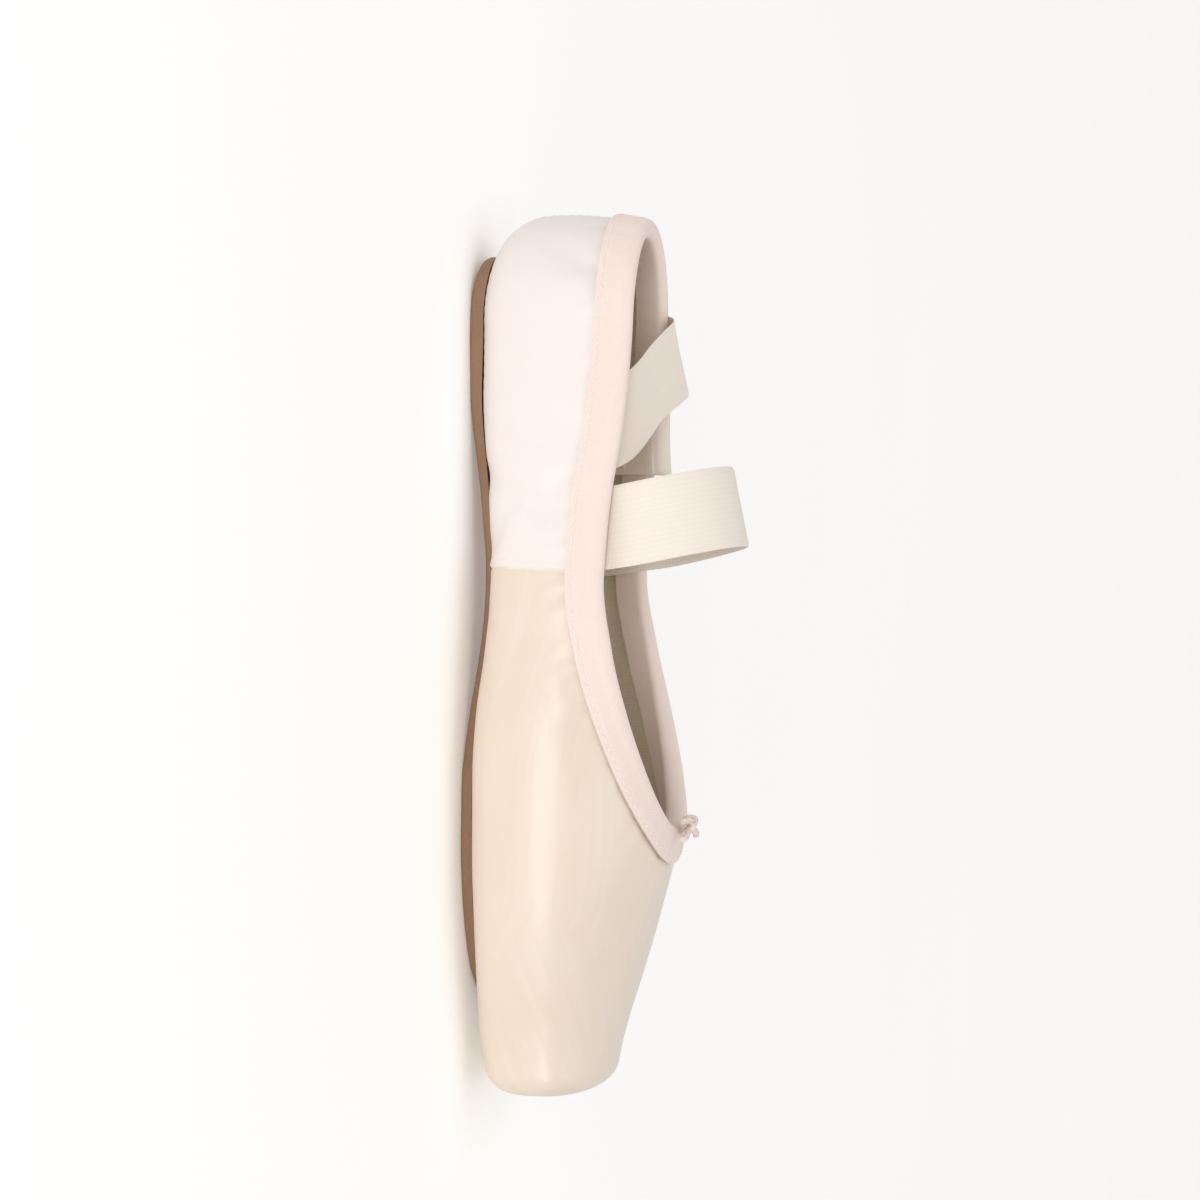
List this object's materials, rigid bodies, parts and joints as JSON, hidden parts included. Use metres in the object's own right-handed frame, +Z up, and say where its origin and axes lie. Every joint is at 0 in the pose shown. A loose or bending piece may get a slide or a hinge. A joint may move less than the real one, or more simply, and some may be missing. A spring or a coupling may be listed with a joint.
{
  "type": "pointe shoe",
  "caption": "Ballet shoe with a stiffened flat toe platform, leather outsole, bound collar, instep elastic and ankle ribbons.",
  "frame": {"origin": "centre of the shoe's own box, without the ribbons, on the floor plane under the sole", "axes": "+X from heel to toe, +Y to the shoe's left, +Z up"},
  "size_m": [0.2429, 0.2084, 0.0739],
  "materials": {
    "satin": "pale pink peach satin",
    "sole_leather": "matte tan leather",
    "insole_board": "natural canvas",
    "binding_tape": "matte pale pink cotton tape",
    "drawstring": "woven cotton cord",
    "elastic": "matte ribbed elastic",
    "ribbon": "pale pink peach satin"
  },
  "bodies": {
    "root": {"upper": "satin", "outsole": "sole_leather", "insole": "insole_board", "binding": "binding_tape", "drawstring_knot": "drawstring", "elastic_strap": "elastic", "ribbon_left": "ribbon", "ribbon_right": "ribbon"}
  },
  "joints": []
}
